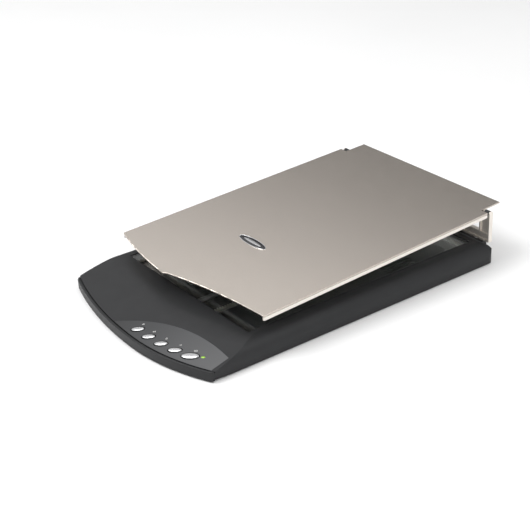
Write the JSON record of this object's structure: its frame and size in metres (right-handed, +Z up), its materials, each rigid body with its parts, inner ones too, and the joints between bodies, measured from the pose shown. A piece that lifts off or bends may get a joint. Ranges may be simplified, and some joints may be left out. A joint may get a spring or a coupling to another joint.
{
  "type": "flatbed scanner",
  "caption": "Slim flatbed document scanner with a bowed front, glass platen, sloped button panel and a curved lid raised level on a U-shaped hinge frame.",
  "frame": {"origin": "on the table under the middle of the whole object at rest, with the lid raised", "axes": "+X to the right seen from the front, +Y to the rear (hinge side), +Z up"},
  "size_m": [0.256, 0.4178, 0.0628],
  "materials": {
    "charcoal_plastic": "fine moulded grain",
    "panel_plastic": "satin moulded",
    "black_plastic": "moulded",
    "champagne_cover": "champagne metallic paint, satin",
    "champagne_frame": "champagne metallic paint, satin",
    "silver_button": "silver paint",
    "green_window": "translucent green",
    "clear_glass": "polished",
    "white_plastic": "smooth white",
    "foam_pad": "white foam with a smooth skin",
    "rubber": "matt",
    "steel": "plain",
    "zinc_screw": "zinc plated",
    "chrome": "polished",
    "badge_black": "gloss black enamel",
    "gear_nylon": "natural nylon",
    "board_green": "solder mask",
    "component_black": "moulded",
    "ribbon": "flat cable with bare ends",
    "lens_dark": "lens row",
    "light_bar": "clear acrylic"
  },
  "bodies": {
    "case": {"upper_case": "charcoal_plastic", "lower_case": "charcoal_plastic", "platen_glass": "clear_glass", "calibration_strip": "white_plastic", "control_panel": "panel_plastic", "light_window": "green_window", "button_board": "board_green", "tact_switches": "component_black", "rubber_feet": "rubber", "case_screws": "zinc_screw", "socket_plate": "black_plastic", "hinge_rail": "black_plastic", "hinge_screws": "zinc_screw", "guide_rod": "steel", "toothed_rack": "gear_nylon", "flat_cable": "ribbon", "main_board": "board_green", "board_parts": "component_black", "usb_socket": "steel", "power_jack": "component_black", "home_sensor": "component_black"},
    "hinge_pin": {"hinge_shaft": "steel"},
    "lift_frame": {"hinge_frame": "champagne_frame"},
    "lid": {"lid_cover": "champagne_cover", "lid_frame": "champagne_frame", "pivot_brackets": "steel", "lid_pivot_pins": "steel", "pad_board": "white_plastic", "lid_pad": "foam_pad", "lid_buffers": "rubber", "lid_badge": "badge_black", "badge_rim": "chrome"},
    "carriage": {"carriage_frame": "black_plastic", "stepper_motor": "steel", "gear_pin": "steel", "lift_springs": "steel", "head_housing": "black_plastic", "sensor_board": "board_green", "rod_lens_bar": "lens_dark", "light_guide": "light_bar", "head_window": "clear_glass", "slide_pads": "white_plastic"},
    "gear": {"reduction_gear": "gear_nylon"},
    "pinion": {"motor_pinion": "gear_nylon", "motor_shaft": "steel"},
    "lock": {"transport_lock": "black_plastic"},
    "button_1_body": {"button_1": "silver_button"},
    "button_2_body": {"button_2": "silver_button"},
    "button_3_body": {"button_3": "silver_button"},
    "button_4_body": {"button_4": "silver_button"},
    "start_button_body": {"start_button": "silver_button"}
  },
  "joints": [
    {"name": "lid_open", "type": "hinge", "parent": "case", "child": "hinge_pin", "pos_m": [0, 0.1861, 0.028], "axis": [-1, 0, 0], "range_deg": [0, 80]},
    {"name": "frame_lift", "type": "hinge", "parent": "hinge_pin", "child": "lift_frame", "pos_m": [0, 0.1861, 0.028], "axis": [1, 0, 0], "range_deg": [0, 90]},
    {"name": "lid_level", "type": "hinge", "parent": "lift_frame", "child": "lid", "pos_m": [0, 0.1861, 0.0583], "axis": [-1, 0, 0], "range_deg": [0, 92.89]},
    {"name": "scan", "type": "slide", "parent": "case", "child": "carriage", "axis": [0, -1, 0], "range_m": [0, 0.28]},
    {"name": "gear_turn", "type": "hinge", "parent": "carriage", "child": "gear", "pos_m": [0.018, 0.1476, 0.006], "axis": [0, 0, 1], "range_deg": [0, 2674.8]},
    {"name": "pinion_turn", "type": "hinge", "parent": "carriage", "child": "pinion", "pos_m": [0.018, 0.1308, 0.006], "axis": [0, 0, -1], "range_deg": [0, 6685.51]},
    {"name": "lock_slide", "type": "slide", "parent": "case", "child": "lock", "axis": [1, 0, 0], "range_m": [0, 0.005]},
    {"name": "button_1_press", "type": "slide", "parent": "case", "child": "button_1_body", "axis": [0.0072, 0.2929, -0.9561], "range_m": [0, 0.0008], "stiffness_N_per_m": 1500, "springref_m": -0.0004},
    {"name": "button_2_press", "type": "slide", "parent": "case", "child": "button_2_body", "axis": [-0.0174, 0.2924, -0.9561], "range_m": [0, 0.0008], "stiffness_N_per_m": 1500, "springref_m": -0.0004},
    {"name": "button_3_press", "type": "slide", "parent": "case", "child": "button_3_body", "axis": [-0.0418, 0.2899, -0.9561], "range_m": [0, 0.0008], "stiffness_N_per_m": 1500, "springref_m": -0.0004},
    {"name": "button_4_press", "type": "slide", "parent": "case", "child": "button_4_body", "axis": [-0.0659, 0.2854, -0.9561], "range_m": [0, 0.0008], "stiffness_N_per_m": 1500, "springref_m": -0.0004},
    {"name": "start_button_press", "type": "slide", "parent": "case", "child": "start_button_body", "axis": [-0.0896, 0.2789, -0.9561], "range_m": [0, 0.0008], "stiffness_N_per_m": 1500, "springref_m": -0.0004}
  ],
  "couplings": [
    {"joint": "lid_level", "follows": "frame_lift", "ratio": 1.0321},
    {"joint": "gear_turn", "follows": "scan", "rad_per_m": 166.67},
    {"joint": "pinion_turn", "follows": "scan", "rad_per_m": 416.67}
  ]
}
